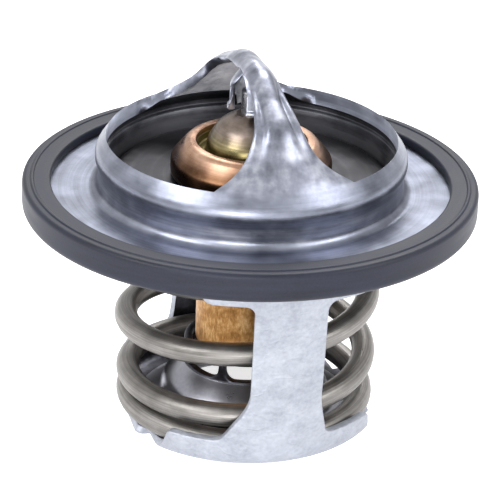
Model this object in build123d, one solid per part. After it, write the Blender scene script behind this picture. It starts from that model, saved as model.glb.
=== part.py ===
from build123d import *
import os
from math import atan2, cos, degrees, hypot, radians, sin, tan

# Engine thermostat with a wax element: a stainless flange carries a bridge above it and a
# spring frame below it. The wax pushes the element down the fixed piston, so that the valve
# plate leaves its seat under the collar. All lengths are in millimetres. The axis is Z and the
# underside of the frame is at height 0. The front leg and the front end of the bridge are
# modelled on -Y, and turn_about_axis sets where they stand.

# Whole part
seat_height = 29.5         # middle of the gasket above the underside of the frame
turn_about_axis = 14.7     # degrees that the bridge and the legs stand to the right of the front
assembly_gap = 0.02        # between pieces that are pressed or clamped together
moving_gap = 0.35          # between the moving element and what it passes

# Flange with its collar and bridge, one pressing
bridge_sheet = 1.1
flange_drop = 0.4          # underside of the flange below the middle of the gasket
neck_radius = 18.75
neck_bend = 1.1
neck_height = 2.7          # from the top of the flange to where the bulge starts
bulge_overhang = 0.6       # how far the bulge's corner stands out from the neck
bulge_height = 4.45
bulge_rounding = 2.0
rim_inset = 0.92           # how far the rim lies inside the neck
rim_height = 6.66
crown_height = 15.6        # lower edges of the bridge at its middle, above the flange
root_half_angle = 28.4     # half of what each end of the bridge takes of the rim, in degrees
crown_half_width = 1.75
crown_arch = 1.15
strap_sink = 1.0           # how deep the bridge's ends run into the wall of the collar
strap_inset = 0.04         # and how far below the wall's two faces

# Stations of the bridge from the rim to its middle: the distance from the axis as a share of
# the rim's, the climb from the rim as a share of the crown's, the half width beyond the
# crown's as a share of the root's, and the arch of the section as a share of the crown's.
bridge_stations = [
    (0.836, 0.155, 0.632, 1.17),
    (0.785, 0.279, 0.422, 1.11),
    (0.723, 0.452, 0.260, 1.06),
    (0.673, 0.586, 0.171, 0.97),
    (0.561, 0.732, 0.095, 0.77),
    (0.449, 0.821, 0.049, 0.74),
    (0.337, 0.897, 0.020, 0.96),
    (0.224, 0.966, 0.006, 1.09),
    (0.112, 0.994, 0.002, 1.09),
]

# Piston socket, drawn down under the crown of the bridge
socket_wall = 0.75
socket_room = 0.45         # between the piston and the socket's walls
socket_depth = 4.0         # from the crown's edges down to the top of the lip ring
socket_roof = 0.4          # how far the roof of the socket lies below the crown's edges
lip_flare = 0.25           # how far the lip ring stands out beyond the walls
lip_thickness = 0.8
door_inset = 0.12          # the socket's walls are this much narrower than the crown

# Gasket
gasket_height = 3.68
gasket_wall = 1.68         # rubber outside the edge of the flange
gasket_grip = 1.8          # how far the rubber reaches in over the flange
gasket_rounding = 0.55
gasket_edge = 0.27         # rounding of the lips' inner edges
bead_inset = 1.25          # middle of the raised bead, from the outside of the gasket
bead_width = 0.5
bead_height = 0.16

# Spring frame: floor, guide dome and two legs in one pressing
frame_sheet = 1.0
foot_width = 1.53          # how far the foot reaches out from the top of the leg
foot_bend = 1.9
foot_room = 0.4            # between the foot and the gasket's lip
frame_lean = 10.5          # degrees that the legs lean outwards
floor_bend = 2.0
coil_room = 0.22           # between the spring and the corner of the floor
dome_wall = 3.3            # from the capsule to the outside of the dome
dome_shoulder = 2.3
dome_root = 1.5
guide_overlap = 2.4        # how deep the capsule's end reaches into the dome
guide_lip = 1.5
guide_bend = 1.6
window_count = 12
spoke_angle = 8.5          # degrees
spoke_offset = -12.75      # degrees of the first spoke from the front, seen from above
window_depth = 2.55        # lower edges of the windows below the top of the dome
window_reach = 2.3         # how far the windows reach in from the outside of the dome
window_rounding = 1.2

# Outline of a leg, seen from outside
arm_half_width = 10.15
arm_depth = 4.88           # lower edges of the arms below the foot
arm_rounding = 1.2
leg_left = 3.85            # edges of the leg where it starts to flare, from the axis
leg_right = 4.9
leg_taper = 0.45           # how much the left edge moves out, up to the arms
flare_height = 9.6
flare_rounding = 6.0
flare_left = 7.0           # edges of the leg where it meets the band
flare_right = 6.0
band_height = 4.2
band_half_width = 13.4
band_slant = 1.0           # how much narrower the band is at its top
band_rounding = 0.5
band_corner = 1.2          # rounding between the leg and the band
band_start = 9.3           # distance of the band's ends from the middle of the floor
tab_half_length = 5.6
tab_reach = 1.55           # how far the side tabs stand out beyond the strip
tab_rounding = 0.7

# Coil spring
wire_radius = 1.45
spring_play = 0.25         # between the spring and the skirt of the valve plate
spring_gap = 0.05          # between the end coils and what they press on
spring_step = 30           # degrees between the points of the wire's path
# Heights of the wire's middle as shares of the spring's, by the angle in degrees from the
# right-hand side. The coils aren't evenly spaced, and the ends lie flat.
spring_heights = [
    (-730, 1.000), (-640, 0.998), (-540, 0.974), (-450, 0.929), (-360, 0.853),
    (-180, 0.696), (0, 0.538), (90, 0.456), (180, 0.383), (270, 0.308),
    (360, 0.224), (450, 0.137), (540, 0.112), (630, 0.061), (720, 0.015),
    (810, 0.002), (905, 0.000),
]

# Valve plate and its seal
plate_sheet = 0.9
plate_rise = 2.2           # top of the plate above the middle of the gasket
plate_bend = 1.1
skirt_height = 4.0
skirt_bend = 0.3
plate_rim = 1.6            # how far the rim stands out from the skirt
seal_width = 0.4           # rubber outside the plate's rim
seal_slope = 38.0          # degrees of the sealing cone
seal_wrap = 0.55           # how far the seal wraps round the underside of the rim
seal_rounding = 0.22

# Wax element
cup_sheet = 0.7
cup_radius = 6.3
cup_drop = 22.7            # bottom of the cup below the top of the valve plate
cup_rounding = 1.2
head_radius = 9.9
head_wall = 2.35           # height of the head's upright wall above the valve plate
head_bend = 1.0
crest_inset = 1.95         # from the head's wall in to its crest
crest_height = 4.72
crest_bend = 1.2
mouth_inset = 3.1          # from the head's wall in to its mouth
sleeve_flange = 0.8
sleeve_wall = 1.42
sleeve_end = 1.0
sleeve_rounding = 0.6
sleeve_depth = 17.2        # closed end of the sleeve below the top of the valve plate
cone_inset = 1.15          # from the mouth in to the foot of the cone
cone_groove_height = 3.0   # floor of the groove above the top of the valve plate
cone_top_radius = 1.9
cone_height = 8.3
cone_rounding = 3.0
washer_width = 1.5
washer_thickness = 0.8
wiper_width = 0.82
wiper_height = 1.5
wiper_place = 4.3          # lower face of the wiper ring above the top of the valve plate
edge_rounding = 0.2        # broken edges of the small turned and moulded pieces

# Piston
piston_radius = 1.45
piston_fit = 0.03
piston_depth = 14.7        # lower end of the piston below the top of the valve plate
piston_tip_radius = 0.8
piston_tip_length = 2.5
piston_shoulder = 0.5

# Heights
flange_bottom = seat_height - flange_drop
flange_top = flange_bottom + bridge_sheet
rim_z = flange_top + rim_height
crown_z = flange_top + crown_height
lip_top = crown_z - socket_depth
lip_bottom = lip_top - lip_thickness
roof_z = crown_z - socket_roof
plate_top = seat_height + plate_rise
plate_under = plate_top - plate_sheet
plate_rim_top = plate_top - skirt_height + plate_sheet
plate_rim_under = plate_rim_top - plate_sheet
cup_bottom = plate_top - cup_drop
head_floor = plate_top + cup_sheet
cone_base = head_floor + sleeve_flange + assembly_gap
dome_top = cup_bottom + guide_overlap
foot_top = flange_bottom - assembly_gap

# Radii, worked out from the neck inwards and then outwards again
skirt_radius = neck_radius - bridge_sheet - moving_gap
coil_radius = skirt_radius - plate_sheet - spring_play - wire_radius
wall_corner_radius = coil_radius + wire_radius + coil_room
wall_top_radius = wall_corner_radius + (foot_top - frame_sheet) * tan(radians(frame_lean))
foot_radius = wall_top_radius + frame_sheet + foot_width
gasket_lip_radius = foot_radius + foot_room
flange_radius = gasket_lip_radius + gasket_grip
gasket_radius = flange_radius + assembly_gap + gasket_wall
rim_radius = neck_radius - rim_inset
bulge_radius = neck_radius + bulge_overhang
dome_radius = cup_radius + dome_wall + frame_sheet
plate_rim_radius = skirt_radius + plate_rim
seal_radius = plate_rim_radius + seal_width
crest_radius = head_radius - crest_inset
mouth_radius = head_radius - mouth_inset
piston_bore = piston_radius + piston_fit
sleeve_radius = piston_bore + sleeve_wall
washer_radius = piston_bore + washer_width
wiper_radius = piston_bore + wiper_width
socket_radius = piston_radius + socket_room + socket_wall
lip_radius = socket_radius + lip_flare
strip_half_width = band_half_width

# Slope of the collar's shoulder above the horizontal
collar_slope = atan2(rim_height - bulge_height, bulge_radius - rim_radius)
on_base = (Align.CENTER, Align.CENTER, Align.MIN)


def section(corners):
    # A closed outline of (radius, height, rounding) corners, as a face standing on the XZ plane
    points = [(r, z) for r, z, rounding in corners]
    roundings = [rounding for r, z, rounding in corners]
    outline = FilletPolyline(*points, radius=roundings, close=True)
    return Plane.XZ * make_face(outline)


def turned(corners):
    return revolve(section(corners), Axis.Z)


def sheet_corners(path, thickness):
    # The section of a sheet that has the path for one face and its thickness on the right of
    # the path. It keeps its thickness round a bend, so its faces have different radii there.
    steps = []
    for (r0, z0, _), (r1, z1, _) in zip(path, path[1:]):
        length = hypot(r1 - r0, z1 - z0)
        steps.append(((r1 - r0) / length, (z1 - z0) / length))
    other_face = []
    for place, (r, z, bend) in enumerate(path):
        before = steps[max(place - 1, 0)]
        after = steps[min(place, len(steps) - 1)]
        turns_right = before[0] * after[1] - before[1] * after[0] < 0
        share = thickness / (1 + before[0] * after[0] + before[1] * after[1])
        other_bend = 0
        if bend:
            other_bend = bend - thickness if turns_right else bend + thickness
        other_r = r + (before[1] + after[1]) * share
        other_z = z - (before[0] + after[0]) * share
        other_face.append((other_r, other_z, other_bend))
    return path + other_face[::-1]


def both_ways(shape):
    # The front and the back of the part are alike, half a turn apart
    return shape + Rot(0, 0, 180) * shape


def placed(shape):
    return Rot(0, 0, turn_about_axis) * shape


def flange_and_collar():
    overshoot = bridge_sheet
    path = [
        (rim_radius - overshoot * cos(collar_slope), rim_z + overshoot * sin(collar_slope), 0),
        (bulge_radius, flange_top + bulge_height, bulge_rounding),
        (neck_radius, flange_top + neck_height, bulge_rounding),
        (neck_radius, flange_top, neck_bend),
        (flange_radius, flange_top, 0),
    ]
    pressing = turned(sheet_corners(path, bridge_sheet))
    return pressing - Pos(0, 0, rim_z) * Cylinder(rim_radius, 2 * overshoot, align=on_base)


def window_cutter():
    # Punches both windows of the collar, and leaves the ends of the bridge standing
    height = 3 * (rim_height - bulge_height)
    side = 2 * rim_radius * sin(radians(root_half_angle))
    ahead = 2 * rim_radius * cos(radians(root_half_angle))
    wedge = extrude(make_face(Polyline((0, 0), (-side, -ahead), (side, -ahead), close=True)), height)
    punch = Cylinder(rim_radius, height, align=on_base) - both_ways(wedge)
    return Pos(0, 0, flange_top + bulge_height) * punch


def strap_section(distance, height, tilt, half_width, arch, thickness):
    # An arched section with its edges at this height and its outer face towards the tilt
    outer = (half_width ** 2 + arch ** 2) / (2 * arch)
    inner_x = half_width * (outer - thickness) / outer
    inner_y = -thickness * (outer - arch) / outer
    outer_arc = ThreePointArc((-half_width, 0), (0, arch), (half_width, 0))
    right_side = Line((half_width, 0), (inner_x, inner_y))
    inner_arc = ThreePointArc((inner_x, inner_y), (0, arch - thickness), (-inner_x, inner_y))
    left_side = Line((-inner_x, inner_y), (-half_width, 0))
    face = make_face([outer_arc, right_side, inner_arc, left_side])
    normal = (0, -cos(radians(tilt)), -sin(radians(tilt)))
    return Plane((0, -distance, height), x_dir=(1, 0, 0), z_dir=normal) * face


def strap_end(height, half_width, side):
    # A level section where the strap rises from the collar, just inside the collar's wall
    radius = rim_radius + (rim_z - height) / tan(collar_slope) - strap_inset
    thickness = bridge_sheet / sin(collar_slope) - 2 * strap_inset
    distance = (radius ** 2 - half_width ** 2) ** 0.5
    return strap_section(side * distance, height, side * 90, half_width, radius - distance, thickness)


def bridge_strap():
    root_half_width = rim_radius * sin(radians(root_half_angle))
    root_distance = rim_radius * cos(radians(root_half_angle))
    front = []
    for reach, climb, width, arch in bridge_stations:
        height = rim_z + (crown_z - rim_z) * climb
        half_width = crown_half_width + (root_half_width - crown_half_width) * width
        front.append((rim_radius * reach, height, half_width, crown_arch * arch))
    back = [(-distance, *others) for distance, *others in reversed(front)]
    path = front + [(0, crown_z, crown_half_width, crown_arch)] + back
    line = [(root_distance, rim_z)] + [station[:2] for station in path] + [(-root_distance, rim_z)]
    buried = rim_z - strap_sink
    sections = [strap_end(buried, root_half_width, 1), strap_end(rim_z, root_half_width, 1)]
    for place, (distance, height, half_width, arch) in enumerate(path):
        before = line[place]
        after = line[place + 2]
        tilt = degrees(atan2(after[1] - before[1], before[0] - after[0]))
        sections.append(strap_section(distance, height, tilt, half_width, arch, bridge_sheet))
    sections += [strap_end(rim_z, root_half_width, -1), strap_end(buried, root_half_width, -1)]
    return loft(sections)


def piston_socket():
    # Two walls under the bridge, open on the left and right, with a lip ring round the piston
    wall_height = crown_z - lip_top
    walls = Cylinder(socket_radius, wall_height, align=on_base)
    walls -= Cylinder(socket_radius - socket_wall, roof_z - lip_top, align=on_base)
    walls &= Box(2 * (crown_half_width - door_inset), 2 * socket_radius, wall_height, align=on_base)
    lip = Cylinder(lip_radius, lip_thickness, align=on_base)
    lip -= Cylinder(piston_radius, lip_thickness, align=on_base)
    return Pos(0, 0, lip_top) * walls + Pos(0, 0, lip_bottom) * lip


def flange_bridge():
    body = flange_and_collar() - window_cutter()
    body += bridge_strap()
    body += piston_socket()
    return placed(body)


def flange_gasket():
    low = seat_height - gasket_height / 2
    high = seat_height + gasket_height / 2
    slot_radius = flange_radius + assembly_gap
    slot_top = flange_top + assembly_gap
    slot_bottom = flange_bottom - assembly_gap
    bead_radius = gasket_radius - bead_inset
    return turned([
        (gasket_lip_radius, low, gasket_edge),
        (gasket_radius, low, gasket_rounding),
        (gasket_radius, high, gasket_rounding),
        (bead_radius + bead_width / 2, high, 0),
        (bead_radius + bead_width / 4, high + bead_height, 0),
        (bead_radius - bead_width / 4, high + bead_height, 0),
        (bead_radius - bead_width / 2, high, 0),
        (gasket_lip_radius, high, gasket_edge),
        (gasket_lip_radius, slot_top, 0),
        (slot_radius, slot_top, 0),
        (slot_radius, slot_bottom, 0),
        (gasket_lip_radius, slot_bottom, 0),
    ])


def frame_shell():
    # The floor, the guide dome and the wall of the legs before the openings are cut
    bore = cup_radius + moving_gap
    corner_rise = foot_top - frame_sheet
    wall_high = wall_corner_radius + corner_rise * tan(radians(frame_lean))
    return turned(sheet_corners([
        (bore, dome_top - frame_sheet - guide_lip, 0),
        (bore, dome_top, guide_bend),
        (dome_radius, dome_top, dome_shoulder),
        (dome_radius, frame_sheet, dome_root),
        (wall_corner_radius, frame_sheet, floor_bend),
        (wall_high, foot_top, foot_bend),
        (foot_radius, foot_top, 0),
    ], frame_sheet))


def leg_outline():
    # Seen from outside: the arms under the flange, the leg, and the band that joins the floor
    top = flange_bottom
    below = -frame_sheet
    arm_height = foot_top - arm_depth
    return section([
        (-arm_half_width, top, 0),
        (-arm_half_width, arm_height, arm_rounding),
        (-leg_left - leg_taper, arm_height, arm_rounding),
        (-leg_left, flare_height, flare_rounding),
        (-flare_left, band_height, band_corner),
        (band_slant - band_half_width, band_height, band_rounding),
        (-band_half_width, below, 0),
        (band_half_width, below, 0),
        (band_half_width - band_slant, band_height, band_rounding),
        (flare_right, band_height, band_corner),
        (leg_right, flare_height, flare_rounding),
        (leg_right - leg_taper, arm_height, arm_rounding),
        (arm_half_width, arm_height, arm_rounding),
        (arm_half_width, top, 0),
    ])


def dome_window():
    # The cutter for one window of the dome, at the front
    half = radians(360 / window_count - spoke_angle) / 2
    inner = dome_radius - window_reach
    outer = dome_radius + frame_sheet
    corners = []
    for radius, angle in ((inner, -half), (outer, -half), (outer, half), (inner, half)):
        corners.append((radius * sin(angle), -radius * cos(angle)))
    cutter = extrude(make_face(Polyline(*corners, close=True)), window_depth + frame_sheet)
    sides = cutter.edges().group_by(Axis.Z)[0].filter_by(lambda edge: abs(edge.tangent_at(0).Y) > 0.5)
    return Pos(0, 0, dome_top - window_depth) * fillet(sides, window_rounding)


def frame():
    tall = seat_height + frame_sheet
    leg = Pos(0, -band_start, 0) * extrude(leg_outline(), foot_radius)
    strip = Box(2 * strip_half_width, 2 * band_start, tall, align=on_base)
    tab = Box(2 * (strip_half_width + tab_reach), 2 * tab_half_length, tall, align=on_base)
    floor = fillet((strip + tab).edges().filter_by(Axis.Z), tab_rounding)
    body = frame_shell() & (Pos(0, 0, -frame_sheet) * floor + both_ways(leg))
    pitch = 360 / window_count
    first = spoke_offset + pitch / 2 - turn_about_axis
    for number in range(window_count):
        body -= Rot(0, 0, first + number * pitch) * dome_window()
    return placed(body)


def spring_share(angle):
    for (angle_0, share_0), (angle_1, share_1) in zip(spring_heights, spring_heights[1:]):
        if angle_0 <= angle <= angle_1:
            return share_0 + (share_1 - share_0) * (angle - angle_0) / (angle_1 - angle_0)


def spring():
    low = frame_sheet + spring_gap + wire_radius
    high = plate_under - spring_gap - wire_radius
    points = []
    for angle in range(spring_heights[0][0], spring_heights[-1][0] + 1, spring_step):
        height = low + (high - low) * spring_share(angle)
        points.append((coil_radius * cos(radians(angle)), -coil_radius * sin(radians(angle)), height))
    path = Spline(*points)
    return sweep(Plane(path @ 0, z_dir=path % 0) * Circle(wire_radius), path)


def valve_plate():
    return turned(sheet_corners([
        (cup_radius + assembly_gap, plate_top, 0),
        (skirt_radius, plate_top, plate_bend),
        (skirt_radius, plate_rim_top, skirt_bend),
        (plate_rim_radius, plate_rim_top, 0),
    ], plate_sheet))


def valve_seal():
    # A ring round the plate's rim, with a cone that meets the bend under the neck
    slope = radians(seal_slope)
    clear = neck_bend + bridge_sheet + moving_gap
    touch_r = neck_radius + neck_bend - clear * sin(slope)
    touch_z = flange_top + neck_bend - clear * cos(slope)
    inner = skirt_radius + assembly_gap
    rim = plate_rim_radius + assembly_gap
    under = plate_rim_under - assembly_gap
    bottom = under - seal_wrap
    return turned([
        (inner, plate_rim_top + assembly_gap, skirt_bend + assembly_gap),
        (rim, plate_rim_top + assembly_gap, 0),
        (rim, under, 0),
        (rim - seal_wrap, under, 0),
        (rim - seal_wrap, bottom, seal_rounding),
        (seal_radius, bottom, seal_rounding),
        (seal_radius, touch_z - (seal_radius - touch_r) * tan(slope), seal_rounding),
        (inner, touch_z + (touch_r - inner) * tan(slope), seal_rounding),
    ])


def capsule_cup():
    under = plate_top + assembly_gap
    crest = plate_top + crest_height
    return turned(sheet_corners([
        (mouth_radius, crest, 0),
        (crest_radius, crest, crest_bend),
        (head_radius, plate_top + head_wall, crest_bend),
        (head_radius, under, head_bend),
        (cup_radius, under, 0),
        (cup_radius, cup_bottom, cup_rounding),
        (0, cup_bottom, 0),
    ], cup_sheet))


def wax_charge():
    bottom = cup_bottom + cup_sheet + assembly_gap
    outer = cup_radius - cup_sheet - assembly_gap
    inner = sleeve_radius + assembly_gap
    sleeve_bottom = plate_top - sleeve_depth - assembly_gap
    return turned([
        (0, bottom, 0),
        (outer, bottom, cup_rounding - cup_sheet),
        (outer, head_floor, 0),
        (inner, head_floor, 0),
        (inner, sleeve_bottom, sleeve_rounding),
        (0, sleeve_bottom, 0),
    ])


def rubber_sleeve():
    low = head_floor + assembly_gap
    high = cone_base - assembly_gap
    bottom = plate_top - sleeve_depth
    outer = head_radius - cup_sheet - assembly_gap
    return turned([
        (0, bottom, 0),
        (sleeve_radius, bottom, sleeve_rounding),
        (sleeve_radius, low, 0),
        (outer, low, head_bend - cup_sheet + assembly_gap),
        (outer, high, 0),
        (piston_bore, high, 0),
        (piston_bore, bottom + sleeve_end, 0),
        (0, bottom + sleeve_end, 0),
    ])


def guide_cone():
    outer = head_radius - cup_sheet - assembly_gap
    shoulder = plate_top + head_wall - cup_sheet / 2
    ledge = plate_top + crest_height - cup_sheet - assembly_gap
    slope = crest_inset / (crest_height - head_wall)
    ledge_radius = outer - (ledge - shoulder) * slope - cup_sheet / 2
    foot_radius_of_cone = mouth_radius - cone_inset
    groove = plate_top + cone_groove_height
    top = plate_top + cone_height
    cone_run = foot_radius_of_cone - cone_top_radius
    cone_rise = top - groove
    washer_top = cone_base + washer_thickness + assembly_gap
    wiper_low = plate_top + wiper_place - assembly_gap
    wiper_high = wiper_low + wiper_height + 2 * assembly_gap
    recess = washer_radius + assembly_gap
    groove_radius = wiper_radius + assembly_gap
    return turned([
        (recess, cone_base, 0),
        (outer, cone_base, 0),
        (outer, shoulder, edge_rounding),
        (ledge_radius, ledge, 0),
        (mouth_radius, ledge, 0),
        (mouth_radius, groove, edge_rounding),
        (foot_radius_of_cone, groove, edge_rounding),
        (foot_radius_of_cone - 0.05 * cone_run, groove + 0.35 * cone_rise, cone_rounding),
        (cone_top_radius + 0.6 * cone_run, groove + 0.75 * cone_rise, cone_rounding),
        (cone_top_radius, top, 0),
        (piston_bore, top, 0),
        (piston_bore, wiper_high, 0),
        (groove_radius, wiper_high, 0),
        (groove_radius, wiper_low, 0),
        (piston_bore, wiper_low, 0),
        (piston_bore, washer_top, 0),
        (recess, washer_top, 0),
    ])


def ring(outer, low, thickness, rounding):
    return turned([
        (piston_bore, low, rounding),
        (outer, low, rounding),
        (outer, low + thickness, rounding),
        (piston_bore, low + thickness, rounding),
    ])


def backup_washer():
    return ring(washer_radius, cone_base, washer_thickness, 0)


def wiper_ring():
    return ring(wiper_radius, plate_top + wiper_place, wiper_height, edge_rounding)


def piston():
    shoulder = roof_z - piston_tip_length
    return turned([
        (0, plate_top - piston_depth, 0),
        (piston_radius, plate_top - piston_depth, piston_shoulder),
        (piston_radius, shoulder, edge_rounding),
        (piston_tip_radius, shoulder + piston_shoulder, 0),
        (piston_tip_radius, roof_z, 0),
        (0, roof_z, 0),
    ])


pieces = [
    flange_bridge,
    flange_gasket,
    frame,
    spring,
    piston,
    valve_plate,
    valve_seal,
    capsule_cup,
    guide_cone,
    rubber_sleeve,
    backup_washer,
    wiper_ring,
    wax_charge,
]
os.makedirs("parts", exist_ok=True)
for piece in pieces:
    export_step(piece(), f"parts/{piece.__name__}.step")
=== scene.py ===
import math
import bmesh
import bpy
import numpy
from mathutils import Matrix, Vector, geometry, noise


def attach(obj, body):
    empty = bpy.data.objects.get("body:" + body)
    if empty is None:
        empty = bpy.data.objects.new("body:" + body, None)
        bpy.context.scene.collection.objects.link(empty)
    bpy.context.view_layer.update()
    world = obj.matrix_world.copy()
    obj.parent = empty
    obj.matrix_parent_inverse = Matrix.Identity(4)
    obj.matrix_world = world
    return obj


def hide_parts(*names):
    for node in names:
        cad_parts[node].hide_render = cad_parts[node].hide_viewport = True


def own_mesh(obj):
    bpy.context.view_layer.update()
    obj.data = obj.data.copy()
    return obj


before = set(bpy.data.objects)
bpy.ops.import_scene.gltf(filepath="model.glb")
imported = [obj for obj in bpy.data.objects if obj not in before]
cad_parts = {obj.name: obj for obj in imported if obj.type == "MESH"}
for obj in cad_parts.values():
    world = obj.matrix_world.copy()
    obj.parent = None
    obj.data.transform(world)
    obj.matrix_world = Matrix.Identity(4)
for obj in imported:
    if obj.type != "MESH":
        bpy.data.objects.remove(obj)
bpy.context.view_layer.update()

# The script works in millimetres and turns them to metres where a mesh or a pattern is made.
# The front of the part is on -Y, and turn is how far its legs and its bridge stand to the right.
mm = 0.001
turn = math.radians(14.7)
# How finely arcs are drawn: fewest steps, widest angle of a step and longest step
arcs = {"fewest": 3, "turn": math.radians(15), "length": 0.4}


def toLinear(hexColour):
    # An sRGB hex colour as the linear colour that Blender works with
    channels = [int(hexColour[place:place + 2], 16) / 255 for place in (1, 3, 5)]
    linear = [c / 12.92 if c <= 0.04045 else ((c + 0.055) / 1.055) ** 2.4 for c in channels]
    return (*linear, 1)


def addNode(material, kind, settings=None, links=None):
    # A node with its settings, by name or by the number of the input, and its links
    node = material.node_tree.nodes.new(kind)
    for name, value in (settings or {}).items():
        if isinstance(name, int) or name in node.inputs:
            node.inputs[name].default_value = value
        else:
            setattr(node, name, value)
    for name, socket in (links or {}).items():
        material.node_tree.links.new(socket, node.inputs[name])
    return node


def newMaterial(name, metallic, roughness):
    material = bpy.data.materials.new(name)
    material.use_nodes = True
    shader = material.node_tree.nodes["Principled BSDF"]
    shader.inputs["Metallic"].default_value = metallic
    shader.inputs["Roughness"].default_value = roughness
    return material, shader


def joinTo(material, socket, shader, name):
    material.node_tree.links.new(socket, shader.inputs[name])


def colourSteps(material, socket, steps):
    # A ramp of hex colours, or of grey levels from 0 to 1, over a value. Those without places are
    # spread evenly from 0.3 to 0.7.
    if not isinstance(steps[0], tuple):
        last = len(steps) - 1
        steps = [(0.3 + 0.4 * place / last, colour) for place, colour in enumerate(steps)]
    node = addNode(material, "ShaderNodeValToRGB", links={"Fac": socket})
    elements = node.color_ramp.elements
    while len(elements) < len(steps):
        elements.new(0.5)
    for element, (place, colour) in zip(elements, steps):
        element.position = place
        element.color = toLinear(colour) if isinstance(colour, str) else (colour, colour, colour, 1)
    return node.outputs["Color"]


def combine(material, operation, first, second):
    # One value from two, of which the second may be a plain number
    plain = isinstance(second, (int, float))
    settings = {"operation": operation} | ({1: second} if plain else {})
    links = {0: first} | ({} if plain else {1: second})
    return addNode(material, "ShaderNodeMath", settings, links).outputs[0]


def mixColours(material, share, first, second, blend="MIX"):
    settings = {"data_type": "RGBA", "blend_type": blend}
    links = {6: first, 7: second}
    if isinstance(share, (int, float)):
        settings[0] = share
    else:
        links[0] = share
    return addNode(material, "ShaderNodeMix", settings, links).outputs[2]


def noiseOver(material, place, detail=3.0, roughness=0.55):
    node = addNode(material, "ShaderNodeTexNoise",
                   {"Scale": 1.0, "Detail": detail, "Roughness": roughness}, {"Vector": place})
    return node.outputs["Fac"]


def vectorNode(material, operation, links, factors=None):
    settings = {"operation": operation} | ({1: factors} if factors else {})
    return addNode(material, "ShaderNodeVectorMath", settings, links).outputs


def ringNoise(material, length, width, radius, detail):
    # Noise in rings round the axis: its spots are about this long and wide, in millimetres, at
    # that radius
    place = addNode(material, "ShaderNodeTexCoord").outputs["Object"]
    split = addNode(material, "ShaderNodeSeparateXYZ", links={0: place})
    flat = vectorNode(material, "MULTIPLY", {0: place}, (1, 1, 0))[0]
    reach = vectorNode(material, "LENGTH", {0: flat})["Value"]
    heading = vectorNode(material, "NORMALIZE", {0: flat})[0]
    climb = combine(material, "MULTIPLY", split.outputs["Z"], 1.3)
    steps = combine(material, "MULTIPLY", combine(material, "ADD", reach, climb), 1 / (width * mm))
    around = vectorNode(material, "MULTIPLY", {0: heading}, (radius / length, radius / length, 0))[0]
    up = addNode(material, "ShaderNodeCombineXYZ", links={"Z": steps}).outputs[0]
    return noiseOver(material, vectorNode(material, "ADD", {0: around, 1: up})[0], detail)


def spotNoise(material, spots, detail=3.0, roughness=0.55):
    # Noise whose spots measure this many millimetres along X, Y and Z
    place = addNode(material, "ShaderNodeTexCoord").outputs["Object"]
    scaled = vectorNode(material, "MULTIPLY", {0: place}, tuple(1 / (spot * mm) for spot in spots))[0]
    return noiseOver(material, scaled, detail, roughness)


def dress(material, shader, colour, gloss, limits, heights):
    # Its colour, roughness that follows a pattern from one limit to the other, and one bump after
    # another, each as (value, height in millimetres)
    joinTo(material, colour, shader, "Base Color")
    joinTo(material, colourSteps(material, gloss, limits), shader, "Roughness")
    normal = None
    for socket, height in heights:
        links = {"Height": socket} | ({"Normal": normal} if normal else {})
        node = addNode(material, "ShaderNodeBump", {"Distance": height * mm, "Strength": 1.0}, links)
        normal = node.outputs["Normal"]
    joinTo(material, normal, shader, "Normal")
    return material


def roundedLine(corners, closed=False, hold=0.05):
    # Corners (radius, height, rounding) as a line of points, with an arc for each rounding and
    # a point just outside its two ends, which keeps the faces beside it flat
    points = []
    count = len(corners)
    for place, (r, z, rounding) in enumerate(corners):
        corner = Vector((r, z))
        if not rounding or (not closed and place in (0, count - 1)):
            points.append(corner)
            continue
        before = Vector(corners[place - 1][:2]) - corner
        after = Vector(corners[(place + 1) % count][:2]) - corner
        opening = before.angle(after)
        reach = rounding / math.tan(opening / 2)
        halfway = (before.normalized() + after.normalized()).normalized()
        middle = corner + halfway * rounding / math.sin(opening / 2)
        start = corner + before.normalized() * reach - middle
        end = corner + after.normalized() * reach - middle
        swing = math.pi - opening
        steps = max(arcs["fewest"], math.ceil(swing / arcs["turn"]),
                    math.ceil(swing * rounding / arcs["length"]))
        if before.length > reach + 3 * hold:
            points.append(corner + before.normalized() * (reach + hold))
        for step in range(steps + 1):
            share = step / steps
            first = math.sin((1 - share) * swing) / math.sin(swing)
            second = math.sin(share * swing) / math.sin(swing)
            points.append(middle + start * first + end * second)
        if after.length > reach + 3 * hold:
            points.append(corner + after.normalized() * (reach + hold))
    return points


def denser(points, spacing, closed=False):
    # The same line with points at this spacing or closer
    result = []
    pairs = list(zip(points, points[1:] + points[:1])) if closed else list(zip(points, points[1:]))
    for first, second in pairs:
        steps = max(1, math.ceil((second - first).length / spacing))
        result += [first.lerp(second, step / steps) for step in range(steps)]
    if not closed:
        result.append(points[-1])
    return result


def hump(value, height, middle, width):
    return height * math.exp(-((value - middle) / width) ** 2)


def polar(r, angle, *z):
    # A point at a radius and an angle, counted from the front to the right
    return Vector((r * math.sin(angle), -r * math.cos(angle), *z))


def skin(work, rings):
    # Faces between closed rings of points, each and the next
    for lower, upper in zip(rings, rings[1:]):
        for place in range(len(lower)):
            after = (place + 1) % len(lower)
            work.faces.new((lower[place], lower[after], upper[after], upper[place]))


def meshOf(work, name):
    mesh = bpy.data.meshes.new(name)
    work.to_mesh(mesh)
    work.free()
    return mesh


def addObject(name, data):
    item = bpy.data.objects.new(name, data)
    bpy.context.scene.collection.objects.link(item)
    return item


def finishMesh(name, mesh, materials, body, nodes):
    piece = addObject(name, mesh)
    for material in materials:
        mesh.materials.append(material)
    for face in mesh.polygons:
        face.use_smooth = True
    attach(piece, body)
    if nodes:
        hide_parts(*nodes)
    print("made", name, len(mesh.polygons), "faces")
    return piece


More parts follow.
